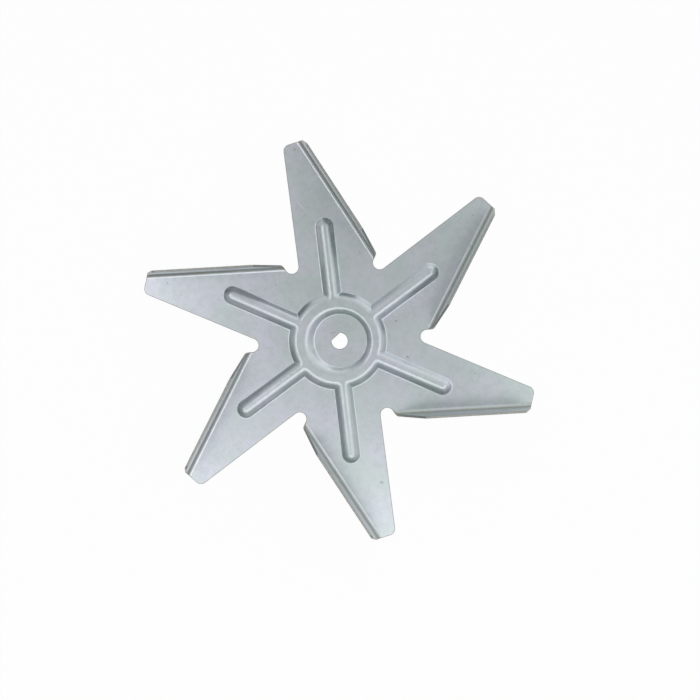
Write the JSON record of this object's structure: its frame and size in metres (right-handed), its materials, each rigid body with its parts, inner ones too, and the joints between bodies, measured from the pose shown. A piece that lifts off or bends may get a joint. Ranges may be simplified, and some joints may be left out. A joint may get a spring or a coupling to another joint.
{
  "type": "exhaust fan impeller",
  "caption": "Pressed sheet-steel fan impeller: a flat star with a blade folded up along one side of each arm, a raised ring and ribs, and a D-shaped shaft hole.",
  "frame": {"origin": "middle of the shaft hole on the sheet's lower face, which is the bottom centre of the wheel's box", "axes": "+Z along the shaft's axis, the way the blades stand; +X towards the flat of the shaft hole"},
  "size_m": [0.1328, 0.1498, 0.017],
  "materials": {
    "sheet_steel": "satin"
  },
  "bodies": {
    "root": {"impeller": "sheet_steel"}
  },
  "joints": []
}
